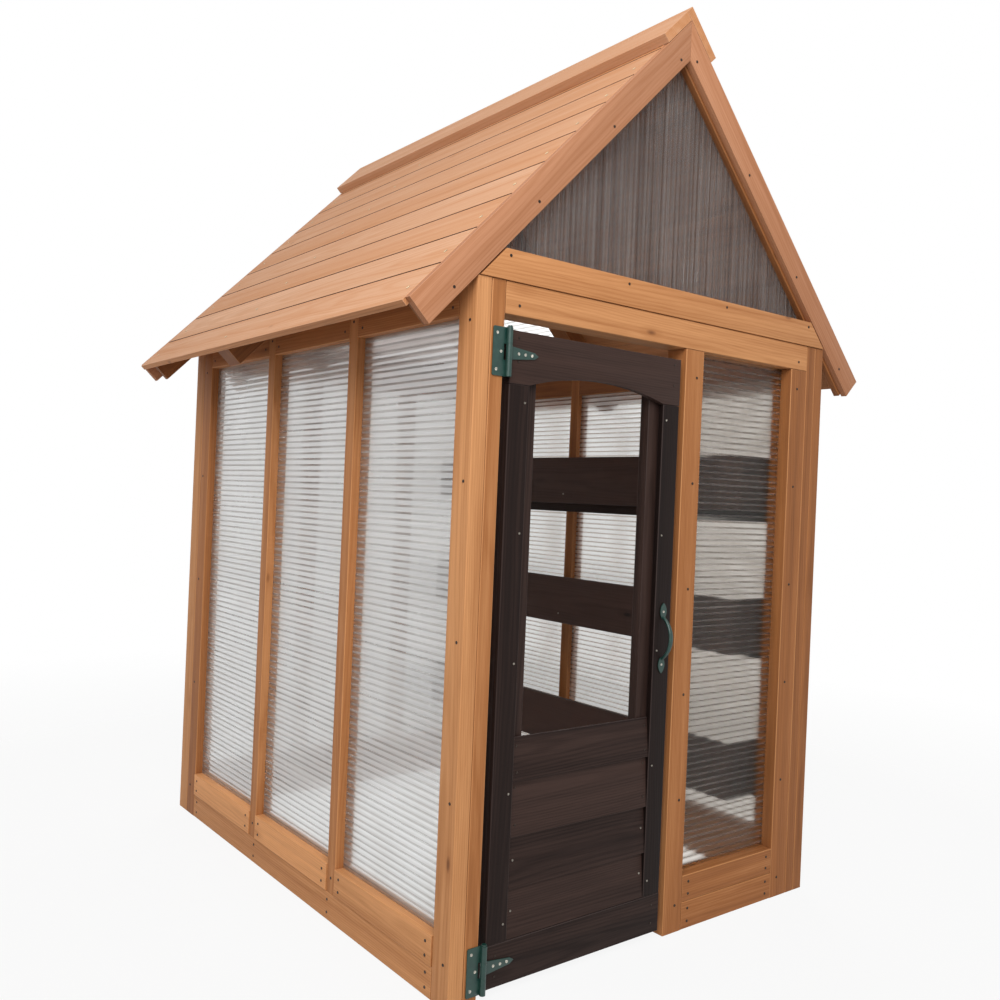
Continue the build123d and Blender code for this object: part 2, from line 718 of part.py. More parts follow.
with BuildPart() as shelf_ends:
    for low in SHELF_LOWS:
        for y0, y1 in ((FRONT_IN, SHELF_Y0), (SHELF_Y1, BACK_IN)):
            section = timber(toward_right(SHELF_IN), y0, y1, low, low + SHELF_FRONT_H)
            extrude(section, amount=SIDE_IN - SHELF_IN)
save(shelf_ends, "shelf_ends")

with BuildPart() as shelf_ledgers:
    for low in SHELF_LOWS:
        section = timber(
            toward_front(SHELF_Y1), SHELF_IN, SHELF_IN + SHELF_BOARD_T, low, low + SHELF_FLOOR_UP
        )
        extrude(section, amount=SHELF_Y1 - SHELF_Y0)
save(shelf_ledgers, "shelf_ledgers")

with BuildPart() as shelf_bearers:
    for low in SHELF_LOWS:
        top = low + SHELF_FLOOR_UP
        section = timber(toward_front(SHELF_Y1), SIDE_IN - BEARER_T, SIDE_IN, top - BEARER_H, top)
        extrude(section, amount=SHELF_Y1 - SHELF_Y0)
save(shelf_bearers, "shelf_bearers")

with BuildPart() as shelf_slats:
    for low in SHELF_LOWS:
        for i in range(SLATS):
            mid = SHELF_Y0 + (i + 0.5) * SLAT_PITCH
            with BuildSketch(level(low + SHELF_FLOOR_UP)):
                with Locations(((SHELF_IN + SIDE_IN) / 2, mid)):
                    Rectangle(SIDE_IN - SHELF_IN, SLAT_W)
            extrude(amount=SLAT_T)
save(shelf_slats, "shelf_slats")
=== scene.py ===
import json
import math
import random

import bmesh
import bpy
from mathutils import Matrix, Vector


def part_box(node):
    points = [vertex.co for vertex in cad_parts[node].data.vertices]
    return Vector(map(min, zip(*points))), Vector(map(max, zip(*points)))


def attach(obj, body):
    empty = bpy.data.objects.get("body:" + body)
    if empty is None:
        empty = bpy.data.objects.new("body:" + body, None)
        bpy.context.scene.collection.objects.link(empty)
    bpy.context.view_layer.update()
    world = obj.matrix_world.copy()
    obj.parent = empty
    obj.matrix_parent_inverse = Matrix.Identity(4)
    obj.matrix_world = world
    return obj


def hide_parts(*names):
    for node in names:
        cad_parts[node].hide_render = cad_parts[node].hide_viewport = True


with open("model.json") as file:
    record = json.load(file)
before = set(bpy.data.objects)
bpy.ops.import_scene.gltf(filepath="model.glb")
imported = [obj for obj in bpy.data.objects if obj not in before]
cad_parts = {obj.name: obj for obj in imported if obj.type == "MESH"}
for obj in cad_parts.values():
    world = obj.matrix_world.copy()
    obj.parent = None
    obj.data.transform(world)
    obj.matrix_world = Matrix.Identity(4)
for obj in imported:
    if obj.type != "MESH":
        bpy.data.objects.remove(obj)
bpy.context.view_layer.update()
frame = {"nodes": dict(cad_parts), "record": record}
RECORD = frame["record"]
SLOT_OF = {part["node"]: part["material_slot"] for part in RECORD["subparts"]}
BODY_OF = {node: body for body, nodes in RECORD["behaviour"]["bodies"].items() for node in nodes}

# Colours, linear
PINE_PALE = (0.585, 0.272, 0.110)
PINE_RICH = (0.365, 0.138, 0.043)
PINE_DARK = (0.15, 0.052, 0.019)
BARGE_PALE = (0.56, 0.272, 0.150)
BARGE_RICH = (0.41, 0.172, 0.080)
ROOF_PALE = (0.635, 0.350, 0.203)
ROOF_RICH = (0.55, 0.245, 0.105)
ROOF_DARK = (0.24, 0.10, 0.045)
# Roof joint colours: dirt, and painted shade in the grooves
JOINT_PALE = (0.10, 0.042, 0.020)
JOINT_RICH = (0.05, 0.020, 0.010)
JOINT_DARK = (0.02, 0.009, 0.005)
STAIN_PALE = (0.042, 0.0230, 0.0182)
STAIN_RICH = (0.0130, 0.0062, 0.0048)
STAIN_DARK = (0.005, 0.0028, 0.0024)
# Worn colour of the dark wood: wear, and a painted highlight on its edges and on the tops of the siding
STAIN_WORN_AND_HIGHLIGHT = (0.052, 0.036, 0.033)
GREEN_PAINT = (0.004, 0.034, 0.026)
GREEN_WORN = (0.026, 0.075, 0.057)
SCREW_STEEL = (0.66, 0.62, 0.54)
SCREW_DULL = (0.36, 0.33, 0.28)
SCREW_DARK = (0.045, 0.030, 0.022)
SCREW_BRASS = (0.88, 0.72, 0.42)
SCREW_SUNK = (0.030, 0.018, 0.012)
PANE_TINT = (0.985, 0.986, 0.984)
FRONT_TINT = (0.89, 0.865, 0.835)
GABLE_TINT = (0.90, 0.88, 0.89)
PANE_SHADE = (0.80, 0.79, 0.78)
WEB_TINT = (0.92, 0.92, 0.91)
FRONT_WEB_TINT = (0.72, 0.69, 0.66)
PANE_PALE = (0.88, 0.88, 0.88)
PANE_DUST = (0.70, 0.67, 0.64)
PANE_SHINE = (0.95, 0.96, 0.97, 1.0)
FLOOR_PALE = (0.55, 0.55, 0.54)
SKY = (1.0, 0.99, 0.98, 1.0)
WHITE = (1.0, 1.0, 1.0, 1.0)

SEED = 7
dice = random.Random(SEED)


# Shader building

def new_material(name):
    material = bpy.data.materials.new(name)
    material.use_nodes = True
    tree = material.node_tree
    shader = tree.nodes["Principled BSDF"]
    return material, tree, shader


def add(tree, kind, settings=None, **inputs):
    """New shader node; an input may be a value or a socket to link."""
    made = tree.nodes.new("ShaderNode" + kind)
    for key, value in (settings or {}).items():
        setattr(made, key, value)
    for key, value in inputs.items():
        give(tree, made.inputs[key], value)
    return made


def give(tree, socket, value):
    if isinstance(value, bpy.types.NodeSocket):
        tree.links.new(value, socket)
    else:
        socket.default_value = value


def calc(tree, operation, *values):
    made = tree.nodes.new("ShaderNodeMath")
    made.operation = operation
    for socket, value in zip(made.inputs, values):
        give(tree, socket, value)
    return made.outputs[0]


def total(tree, first, *others):
    """Sum of values or sockets."""
    for other in others:
        first = calc(tree, "ADD", first, other)
    return first


def blend(tree, factor, first, second):
    """Colour mix of two linear colours or sockets."""
    made = tree.nodes.new("ShaderNodeMix")
    made.data_type = "RGBA"
    give(tree, made.inputs[0], factor)
    for socket, value in ((made.inputs[6], first), (made.inputs[7], second)):
        give(tree, socket, value if isinstance(value, bpy.types.NodeSocket) else (*value, 1.0))
    return made.outputs[2]


def mix(tree, factor, first, second):
    """Mix of two shaders."""
    made = tree.nodes.new("ShaderNodeMixShader")
    for socket, value in zip(made.inputs, (factor, first, second)):
        give(tree, socket, value)
    return made.outputs[0]


def remap(tree, value, low, high, out_low=0.0, out_high=1.0):
    """Value from low to high becomes out_low to out_high, held at both ends."""
    made = add(tree, "MapRange", {"clamp": True}, Value=value)
    ends = {"From Min": low, "From Max": high, "To Min": out_low, "To Max": out_high}
    for name, number in ends.items():
        made.inputs[name].default_value = number
    return made.outputs[0]


def stretched(tree, vector, factors):
    made = add(tree, "VectorMath", {"operation": "MULTIPLY"})
    give(tree, made.inputs[0], vector)
    made.inputs[1].default_value = factors
    return made.outputs[0]


def length_of(tree, vector):
    made = add(tree, "VectorMath", {"operation": "LENGTH"})
    give(tree, made.inputs[0], vector)
    return made.outputs["Value"]


def cloud(tree, vector, detail=2.0, scale=1.0):
    return add(tree, "TexNoise", Vector=vector, Scale=scale, Detail=detail).outputs["Fac"]


def object_place(tree):
    return add(tree, "TexCoord").outputs["Object"]


def attribute(tree, name, output="Fac"):
    return add(tree, "Attribute", {"attribute_name": name}).outputs[output]


def roughen(tree, shader, height, strength, distance):
    bump = add(tree, "Bump", Strength=strength, Distance=distance, Height=height)
    give(tree, shader.inputs["Normal"], bump.outputs["Normal"])


def scaled(colour, factor):
    return tuple(factor * part for part in colour)


# Wood. Stretches are along a board, across it and through it; ring sizes are in metres
ACROSS = (0.0, 1.0, 1.0)
WANDER_STRETCH = (1.3, 11.0, 11.0)
FIBRE_STRETCH = (9.0, 620.0, 620.0)
STREAK_STRETCH = (0.8, 30.0, 30.0)
PATCH_STRETCH = (2.6, 7.0, 7.0)
KNOT_STRETCH = (3.4, 9.0, 9.0)
RING = 0.0065
RING_DRIFT = 0.011
RING_WANDER = 0.026
# Ranges: the two values that a pattern runs between, then what those become if not 0 and 1
LATE_WOOD = (-0.3, 1.0)
STREAK_SHADE = (0.32, 0.70, -0.25, 0.45)
FIBRE_SHADE = (0.30, 0.72, -0.16, 0.22)
BLEACHED_SHADE = (-0.8, 0.0)
RICH_SHADE = (0.0, 1.0)
DARK_SHADE = (1.0, 2.0, 0.0, 0.8)
PATCH_SHARE = (0.55, 0.80, 0.0, 0.35)
PORE_SHARE = (0.66, 0.80, 0.0, 0.30)
WEAR_AND_HIGHLIGHT_SHARE = (0.35, 0.60, 0.25, 0.85)
KNOT_SPOT = (0.03, 0.09, 0.8, 0.0)
KNOT_HALO = (0.06, 0.22, 0.45, 0.0)
KNOT_EDGE = 0.02
FIBRE_RANGE = (0.25, 0.75)
# Strengths
BLEACH = 1.35
BASE_SHADE = 0.28
TONE_MIDDLE = 0.5
TONE_SHARE = 0.9
FIBRE_SMOOTH = 0.07
FIBRE_ROUGH = 0.10
RING_ROUGH = 0.05
FIBRE_HEIGHT = 0.7
RING_HEIGHT = 0.35
GRAIN_BUMP = (0.35, 0.0007)


def growth_rings(tree, grain):
    """Dark late wood of the rings round a pith, which wander along the board."""
    wander = cloud(tree, stretched(tree, grain, WANDER_STRETCH))
    radius = length_of(tree, stretched(tree, grain, ACROSS))
    along = add(tree, "SeparateXYZ", Vector=grain).outputs[0]
    drift = calc(tree, "MULTIPLY", along, RING_DRIFT)
    depth = total(tree, radius, drift, calc(tree, "MULTIPLY", wander, RING_WANDER))
    phase = calc(tree, "MULTIPLY", depth, 2 * math.pi / RING)
    return remap(tree, calc(tree, "SINE", phase), *LATE_WOOD)


def with_knots(tree, grain, colour, rich, dark, share):
    """Knots with a halo, in a share of the cells that a board is divided into."""
    cells = add(tree, "TexVoronoi", Vector=stretched(tree, grain, KNOT_STRETCH), Scale=1.0)
    draw = add(tree, "SeparateColor", Color=cells.outputs["Color"]).outputs[0]
    chosen = remap(tree, draw, 1.0 - share, 1.0 - share + KNOT_EDGE)
    halo = remap(tree, cells.outputs["Distance"], *KNOT_HALO)
    spot = remap(tree, cells.outputs["Distance"], *KNOT_SPOT)
    colour = blend(tree, calc(tree, "MULTIPLY", halo, chosen), colour, rich)
    return blend(tree, calc(tree, "MULTIPLY", spot, chosen), colour, dark)


def wood(name, pale, rich, dark, wear_and_highlight, figure, roughness, knots, gloss):
    """Softwood cut from a log: growth rings, fibres along the board, knots and eased edges."""
    material, tree, shader = new_material(name)
    grain = attribute(tree, "grain", "Vector")
    ring = growth_rings(tree, grain)
    fibre = cloud(tree, stretched(tree, grain, FIBRE_STRETCH))
    streak = cloud(tree, stretched(tree, grain, STREAK_STRETCH), detail=3.0)
    patch = cloud(tree, stretched(tree, grain, PATCH_STRETCH))
    tone = calc(tree, "SUBTRACT", attribute(tree, "tone"), TONE_MIDDLE)
    shade = total(
        tree,
        calc(tree, "MULTIPLY", ring, figure),
        remap(tree, streak, *STREAK_SHADE),
        remap(tree, fibre, *FIBRE_SHADE),
        calc(tree, "MULTIPLY", tone, TONE_SHARE),
        BASE_SHADE,
    )
    colour = blend(tree, remap(tree, shade, *BLEACHED_SHADE), scaled(pale, BLEACH), pale)
    colour = blend(tree, remap(tree, shade, *RICH_SHADE), colour, rich)
    colour = blend(tree, remap(tree, shade, *DARK_SHADE), colour, dark)
    colour = blend(tree, remap(tree, patch, *PATCH_SHARE), colour, rich)
    colour = blend(tree, remap(tree, fibre, *PORE_SHARE), colour, dark)
    colour = with_knots(tree, grain, colour, rich, dark, knots)
    # Worn colour on the marked edges and tops: wear, and on the dark wood also a painted highlight
    rubbed_and_highlit = calc(tree, "MULTIPLY", attribute(tree, "edge"), remap(tree, streak, *WEAR_AND_HIGHLIGHT_SHARE))
    give(tree, shader.inputs["Base Color"], blend(tree, rubbed_and_highlit, colour, wear_and_highlight))

    rough = remap(tree, fibre, *FIBRE_RANGE, roughness - FIBRE_SMOOTH, roughness + FIBRE_ROUGH)
    rough = total(tree, rough, calc(tree, "MULTIPLY", ring, RING_ROUGH))
    give(tree, shader.inputs["Roughness"], rough)
    shader.inputs["Specular IOR Level"].default_value = gloss
    raised = calc(tree, "MULTIPLY", fibre, FIBRE_HEIGHT)
    height = total(tree, raised, calc(tree, "MULTIPLY", ring, RING_HEIGHT))
    roughen(tree, shader, height, *GRAIN_BUMP)
    return material


# Clear plastic, with ranges as for the wood
DUST_SCALE = 5.0
DUST_ROUGH = (0.3, 0.7, 0.2, 0.4)
DUST_RANGE = (0.35, 0.75)
DUST_MOST = 1.7
DUST_GLOW = 0.5
STREAK_RANGE = (0.35, 0.68)
STREAK_BUMP = (0.30, 0.0006)
# Dust is thicker between the dull streaks and thinner on them, by these times how streaky a sheet is
STREAK_DUST = (0.35, 0.65)
MORE_DUST = 5
LESS_DUST = 2
CLEAR_SHARE = 0.4
BLUR_IOR = 1.08
SHINE_ROUGH = 0.07
SHINE_LEAST = 0.08
SHINE_POWER = 5.0


def blurred_film(tree, colour, blur):
    """Film that scatters what is behind it, apart from a clear share, and dims the lamps' light."""
    cast = add(tree, "BsdfRefraction", Color=colour, Roughness=blur, IOR=BLUR_IOR).outputs[0]
    lamps = add(tree, "LightPath").outputs["Is Shadow Ray"]
    clear = add(tree, "BsdfTransparent", Color=blend(tree, lamps, colour, PANE_SHADE)).outputs[0]
    return mix(tree, calc(tree, "MAXIMUM", lamps, CLEAR_SHARE), cast, clear)


def with_shine(tree, film, shiny):
    """Adds a mirror that grows as the film is seen from the side."""
    shine = add(tree, "BsdfGlossy", Color=PANE_SHINE, Roughness=SHINE_ROUGH).outputs[0]
    slant = calc(tree, "POWER", add(tree, "LayerWeight", Blend=0.5).outputs["Facing"], SHINE_POWER)
    return mix(tree, remap(tree, slant, 0.0, 1.0, SHINE_LEAST * shiny, shiny), film, shine)


def clear_sheet(name, tint, stretch, dusty, shiny=0.0, blur=0.0, streaky=0.08):
    """Clear plastic: a tinted film with drawn streaks, dust that scatters light, and shine."""
    material, tree, shader = new_material(name)
    place = object_place(tree)
    streak = cloud(tree, stretched(tree, place, stretch))
    dust = cloud(tree, place, detail=4.0, scale=DUST_SCALE)
    dirt = blend(tree, dust, PANE_PALE, PANE_DUST)
    give(tree, shader.inputs["Base Color"], dirt)
    give(tree, shader.inputs["Roughness"], remap(tree, dust, *DUST_ROUGH))
    roughen(tree, shader, streak, *STREAK_BUMP)

    colour = blend(tree, remap(tree, streak, *STREAK_RANGE), tint, scaled(tint, 1 - streaky))
    if blur:
        film = blurred_film(tree, colour, blur)
    else:
        film = add(tree, "BsdfTransparent", Color=colour).outputs[0]
    if shiny:
        film = with_shine(tree, film, shiny)

    drawn = remap(tree, streak, *STREAK_DUST, 1 + MORE_DUST * streaky, 1 - LESS_DUST * streaky)
    haze = calc(tree, "MULTIPLY", remap(tree, dust, *DUST_RANGE, dusty, dusty * DUST_MOST), drawn)
    glow = add(tree, "BsdfTranslucent", Color=dirt).outputs[0]
    milk = mix(tree, DUST_GLOW, shader.outputs[0], glow)
    give(tree, tree.nodes["Material Output"].inputs["Surface"], mix(tree, haze, film, milk))
    return material


# Metal, with ranges as for the wood
PEEL_SCALE = 900.0
PEEL_BUMP = (0.2, 0.0003)
PAINT_SCALE = 60.0
PAINT_DULL = (0.45, 0.75, 0.0, 0.45)
PAINT_THIN = (0.3, 0.6, 0.2, 0.8)
PAINT_ROUGH = (0.3, 0.7, 0.28, 0.48)
PAINT_GLOSS = 0.6
TARNISH_SCALE = 140.0
TARNISH_RANGE = (0.4, 0.7)
TARNISH_ROUGH = (0.3, 0.7, 0.3, 0.55)
TARNISH = 0.45


def painted_metal(name):
    """Green paint on steel: orange-peel surface, duller patches and paint thinned along the edges."""
    material, tree, shader = new_material(name)
    place = object_place(tree)
    dust = cloud(tree, place, detail=4.0, scale=PAINT_SCALE)
    thin = calc(tree, "MULTIPLY", attribute(tree, "edge"), remap(tree, dust, *PAINT_THIN))
    colour = blend(tree, remap(tree, dust, *PAINT_DULL), GREEN_PAINT, GREEN_WORN)
    give(tree, shader.inputs["Base Color"], blend(tree, thin, colour, GREEN_WORN))
    give(tree, shader.inputs["Roughness"], remap(tree, dust, *PAINT_ROUGH))
    shader.inputs["Specular IOR Level"].default_value = PAINT_GLOSS
    roughen(tree, shader, cloud(tree, place, scale=PEEL_SCALE), *PEEL_BUMP)
    return material


def screw_metal(name, colour, metallic):
    """Screw heads, tarnished in patches."""
    material, tree, shader = new_material(name)
    tarnish = cloud(tree, object_place(tree), detail=3.0, scale=TARNISH_SCALE)
    dulled = blend(tree, remap(tree, tarnish, *TARNISH_RANGE), colour, scaled(colour, TARNISH))
    give(tree, shader.inputs["Base Color"], dulled)
    give(tree, shader.inputs["Roughness"], remap(tree, tarnish, *TARNISH_ROUGH))
    shader.inputs["Metallic"].default_value = metallic
    return material


# The materials
WOODS = {
    "frame_wood": wood(
        "stained pine", PINE_PALE, PINE_RICH, PINE_DARK, PINE_PALE,
        figure=0.24, roughness=0.56, knots=0.40, gloss=0.22,
    ),
    "barge_wood": wood(
        "stained barge pine", BARGE_PALE, BARGE_RICH, ROOF_DARK, BARGE_PALE,
        figure=0.24, roughness=0.56, knots=0.40, gloss=0.22,
    ),
    "roof_wood": wood(
        "stained roof pine", ROOF_PALE, ROOF_RICH, ROOF_DARK, ROOF_PALE,
        figure=0.30, roughness=0.60, knots=0.34, gloss=0.22,
    ),
    "dark_wood": wood(
        "dark stained pine", STAIN_PALE, STAIN_RICH, STAIN_DARK, STAIN_WORN_AND_HIGHLIGHT,
        figure=0.30, roughness=0.50, knots=0.40, gloss=0.13,
    ),
}
# Roof joints: dirt, and painted shade in the grooves and on the rounded upper lips
ROOF_JOINT_DIRT_AND_SHADE = wood(
    "roof joint with dirt and painted shade", JOINT_PALE, JOINT_RICH, JOINT_DARK, JOINT_RICH,
    figure=0.3, roughness=0.8, knots=0.0, gloss=0.1,
)
# A sheet has a skin and a web. Streaks run level, or upright in the gables
LEVEL_STREAKS = (0.8, 0.8, 150.0)
UPRIGHT_STREAKS = (230.0, 230.0, 0.8)
GABLE_STREAKY = 0.32
WALL_SHEET = [
    clear_sheet("wall pane skin", PANE_TINT, LEVEL_STREAKS, dusty=0.10, shiny=2.6, blur=0.6),
    clear_sheet("wall pane web", WEB_TINT, LEVEL_STREAKS, dusty=0.26),
]
FRONT_SHEET = [
    clear_sheet("front pane skin", FRONT_TINT, LEVEL_STREAKS, dusty=0.005, shiny=0.2, blur=0.3),
    clear_sheet("front pane web", FRONT_WEB_TINT, LEVEL_STREAKS, dusty=0.075),
]
RIGHT_SHEET = [
    WALL_SHEET[0],
    clear_sheet("right pane web", FRONT_WEB_TINT, LEVEL_STREAKS, dusty=0.10),
]
GABLE_SHEET = [
    clear_sheet(
        "gable pane skin", GABLE_TINT, UPRIGHT_STREAKS, dusty=0.042, shiny=0.2, streaky=GABLE_STREAKY,
    ),
    clear_sheet("gable pane web", WEB_TINT, UPRIGHT_STREAKS, dusty=0.075, streaky=GABLE_STREAKY),
]
SHEET_OF = {"front_pane": FRONT_SHEET, "right_panes": RIGHT_SHEET}
GREEN = painted_metal("green paint")
STEEL = screw_metal("zinc screws", SCREW_STEEL, metallic=1.0)
DULL_STEEL = screw_metal("dull zinc screws", SCREW_DULL, metallic=0.8)
BROWNED = screw_metal("browned screws", SCREW_DARK, metallic=0.6)
SUNK = screw_metal("sunk screws", SCREW_SUNK, metallic=0.0)
BRASS = screw_metal("brassed screws", SCREW_BRASS, metallic=0.3)


# Pieces made over the frame
WELD = 1e-5
FLAT = math.radians(1)
SHARP = math.radians(25)
FORWARD = Vector((0, -1, 0))
BACKWARD = Vector((0, 1, 0))
LEFT = Vector((-1, 0, 0))
RIGHT = Vector((1, 0, 0))
UP = Vector((0, 0, 1))
DIAGONAL = RIGHT + BACKWARD + UP
# An axis that leans less than this away from a board's length is not a side of it
LEAST_SIDE = 0.2


def new_object(name, data):
    made = bpy.data.objects.new(name, data)
    bpy.context.scene.collection.objects.link(made)
    return made


def show(name, bm, materials, body, nodes=(), rounded=True):
    """Turns a bmesh into a piece that rides on a body and may stand for CAD nodes."""
    mesh = bpy.data.meshes.new(name)
    bm.to_mesh(mesh)
    bm.free()
    for material in materials:
        mesh.materials.append(material)
    if rounded:
        mesh.shade_smooth()
        mesh.set_sharp_from_angle(angle=SHARP)
    piece = new_object(name, mesh)
    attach(piece, body)
    if nodes:
        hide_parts(*nodes)


def welded_copy(node):
    bm = bmesh.new()
    bm.from_mesh(frame["nodes"][node].data)
    bmesh.ops.remove_doubles(bm, verts=bm.verts, dist=WELD)
    return bm


def flat_copy(node):
    """Welded copy with one polygon for each flat face."""
    bm = welded_copy(node)
    bmesh.ops.dissolve_limit(bm, angle_limit=FLAT, verts=bm.verts[:], edges=bm.edges[:])
    return bm


def loose_solids(bm):
    """The separate solids of a welded mesh, as lists of vertices."""
    left = set(bm.verts)
    solids = []
    while left:
        stack = [left.pop()]
        solid = []
        while stack:
            vert = stack.pop()
            solid.append(vert)
            for link in vert.link_edges:
                other = link.other_vert(vert)
                if other in left:
                    left.remove(other)
                    stack.append(other)
        solids.append(solid)
    return sorted(solids, key=lambda solid: tuple(round(c, 4) for c in min(v.co[:] for v in solid)))


def spread(verts, axis):
    reach = [vert.co.dot(axis) for vert in verts]
    return max(reach) - min(reach)


def forwards(axis):
    """The axis or its opposite, whichever points along the diagonal."""
    return -axis if axis.dot(DIAGONAL) < 0 else axis


def direction(edge):
    return forwards((edge.verts[1].co - edge.verts[0].co).normalized())


def board_axes(solid):
    """Unit vectors along a board, across its width and through its thickness."""
    along = direction(max((e for v in solid for e in v.link_edges), key=lambda e: e.calc_length()))
    options = []
    for axis in (RIGHT, BACKWARD, UP):
        side = axis - along * axis.dot(along)
        if side.length > LEAST_SIDE:
            options.append(side.normalized())
    through = min(options, key=lambda axis: spread(solid, axis))
    return along, through.cross(along), through


def outer_faces(node, out):
    """For each solid of a node, its largest face toward a side: corner, along, across, normal and sizes."""
    bm = flat_copy(node)
    found = []
    for solid in loose_solids(bm):
        near = {face for vert in solid for face in vert.link_faces}
        face = max(near, key=lambda f: f.calc_area() * max(0.0, f.normal.dot(out)))
        normal = face.normal.copy()
        along = direction(max(face.edges, key=lambda e: e.calc_length()))
        across = forwards(normal.cross(along))
        us = [v.co.dot(along) for v in face.verts]
        vs = [v.co.dot(across) for v in face.verts]
        corner = along * min(us) + across * min(vs) + normal * face.verts[0].co.dot(normal)
        found.append((corner, along, across, normal, max(us) - min(us), max(vs) - min(vs)))
    bm.free()
    return found


def solid_boxes(node):
    """Lowest and highest corners of each solid of a node."""
    bm = welded_copy(node)
    boxes = []
    for solid in loose_solids(bm):
        low = Vector(min(v.co[i] for v in solid) for i in range(3))
        high = Vector(max(v.co[i] for v in solid) for i in range(3))
        boxes.append((low, high))
    bm.free()
    return boxes


# Boards, sizes in metres
SHADOW_GAP = 0.0008
WORN_EDGE = 0.0009
EASED = 0.6
JOINT_FACE = 0.012
JOINT_LIP = 0.0018
LONG_FACE = 0.5
UPWARD = 0.9
LOG_LENGTH = 40.0
PITH = 0.09
ROOF_BOARDS = ("roof_boards_left", "roof_boards_right")
# Nodes whose upward faces get the worn colour as a painted highlight
HIGHLIGHTED_TOPS = ("door_siding",)
# How dark the boards of a node are in turn: 0 is pale, and less is bleached.
# End grain is darker. Painted shade and light are marked; the inside of the roof is darker as painted shade
PLAIN_TONE = 0.5
TONE_SPREAD = 0.12
END_TONE = 0.6
END_REACH = 0.0001
INSIDE_PAINTED_SHADE = 0.9
TONES_AND_PAINTED_LIGHT = {
    "front_header": (0.3,), "front_tie": (0.35,),
    "front_barge_left": (0.7,), "front_barge_right": (0.75,),
    # Painted shade: the top rails under the eaves are darker
    "left_top_rails": (1.3,), "right_top_rails": (1.9,), "right_studs": (1.1,),
    # Painted shade: the rafters inside the roof are darker
    "rafters_front": (1.8,), "rafters_mid": (1.8,), "rafters_back": (1.8,),
    "front_hinge_post": (1.1,), "front_latch_stud": (0.95,),
    "front_right_stud": (1.45,), "front_right_post": (1.6,), "right_post_front": (1.6,),
    "front_sill": (1.1,), "front_bottom_board": (1.1,),
    "left_post_front": (0.2,), "left_post_back": (1.3,), "left_studs": (0.7,),
    # Painted light: the left sills and the shelf fronts are paler
    "left_sills": (0.15, -0.6, -0.6), "left_bottom_board": (0.2,),
    "shelf_fronts": (-1.0, -0.7, -0.7),
    "door_top_rail": (-0.3,), "door_bottom_rail": (0.8,), "door_siding": (0.0, 0.5, -0.1, 0.7),
    "door_stile_hinge_side": (0.9,), "door_stile_latch_side": (1.6,),
    "ridge_cap_left": (0.3,), "roof_boards_left": (0.35, 0.2, 0.65, 0.3, 0.8, 0.35, 0.7, 0.4, 0.85),
}


def round_over(bm, edges, size, part=-1):
    return bmesh.ops.bevel(
        bm, geom=edges, offset=size, offset_type="OFFSET", segments=2, profile=EASED,
        affect="EDGES", clamp_overlap=True, material=part,
    )


def ease_edges(bm, size):
    """Small rounded edges, marked for the worn colour: wear, and on the dark wood also a painted highlight.
    """
    wear_and_highlight = bm.faces.layers.float.new("edge")
    edges = [e for e in bm.edges if len(e.link_faces) == 2 and e.calc_face_angle(0.0) > SHARP]
    made = round_over(bm, edges, size)
    for face in made["faces"]:
        face[wear_and_highlight] = 1.0


def paint_top_highlights(bm):
    """Marks the upward faces for the worn colour too, as a painted highlight where they catch the light."""
    wear_and_highlight = bm.faces.layers.float["edge"]
    for face in bm.faces:
        if face.normal.z > UPWARD:
            face[wear_and_highlight] = 1.0


def draw_in(bm, amount):
    """Moves every face of the solids inwards, so that neighbours show a dark joint."""
    bm.normal_update()
    moves = [vert.normal * (amount * vert.calc_shell_factor()) for vert in bm.verts]
    for vert, move in zip(bm.verts, moves):
        vert.co -= move


def is_upper_lip(edge):
    """True on the edge between a joint's face and a board's upper face."""
    if sorted(face.material_index for face in edge.link_faces) != [0, 1]:
        return False
    return max(face.normal.z for face in edge.link_faces if face.material_index == 0) > 0


def mark_joints(bm):
    """Gives the narrow faces of tongues, grooves and open joints, and the rounded upper lips, the second
    material: dirt and painted shade in the joints.
    """
    for face in bm.faces:
        longest = max(e.calc_length() for e in face.edges)
        if face.calc_area() < JOINT_FACE * longest and longest > LONG_FACE:
            face.material_index = 1
    lips = [e for e in bm.edges if is_upper_lip(e) and e.calc_length() > LONG_FACE]
    round_over(bm, lips, JOINT_LIP, 1)


def cut_from_logs(bm, node):
    """Gives each board its own place in a log, for the grain, and its own tone, which on some boards is
    painted shade and on some painted light.
    """
    grain = bm.verts.layers.float_vector.new("grain")
    tone = bm.verts.layers.float.new("tone")
    tones = TONES_AND_PAINTED_LIGHT.get(node, (PLAIN_TONE,))
    for i, solid in enumerate(loose_solids(bm)):
        along, across, through = board_axes(solid)
        middle = sum((v.co for v in solid), Vector()) / len(solid)
        turn = dice.uniform(0, 2 * math.pi)
        pith = Vector((dice.uniform(0, LOG_LENGTH), PITH * math.cos(turn), PITH * math.sin(turn)))
        hue = tones[i % len(tones)] + dice.uniform(-TONE_SPREAD, TONE_SPREAD)
        reach = [vert.co.dot(along) for vert in solid]
        first, last = min(reach) + END_REACH, max(reach) - END_REACH
        for vert, far in zip(solid, reach):
            spot = vert.co - middle
            vert[grain] = Vector((spot.dot(along), spot.dot(across), spot.dot(through))) + pith
            vert[tone] = hue
            if not first < far < last:
                vert[tone] += END_TONE
            # Painted shade: the inner faces of the roof boards are darker
            elif node in ROOF_BOARDS and vert.normal.z < 0:
                vert[tone] += INSIDE_PAINTED_SHADE


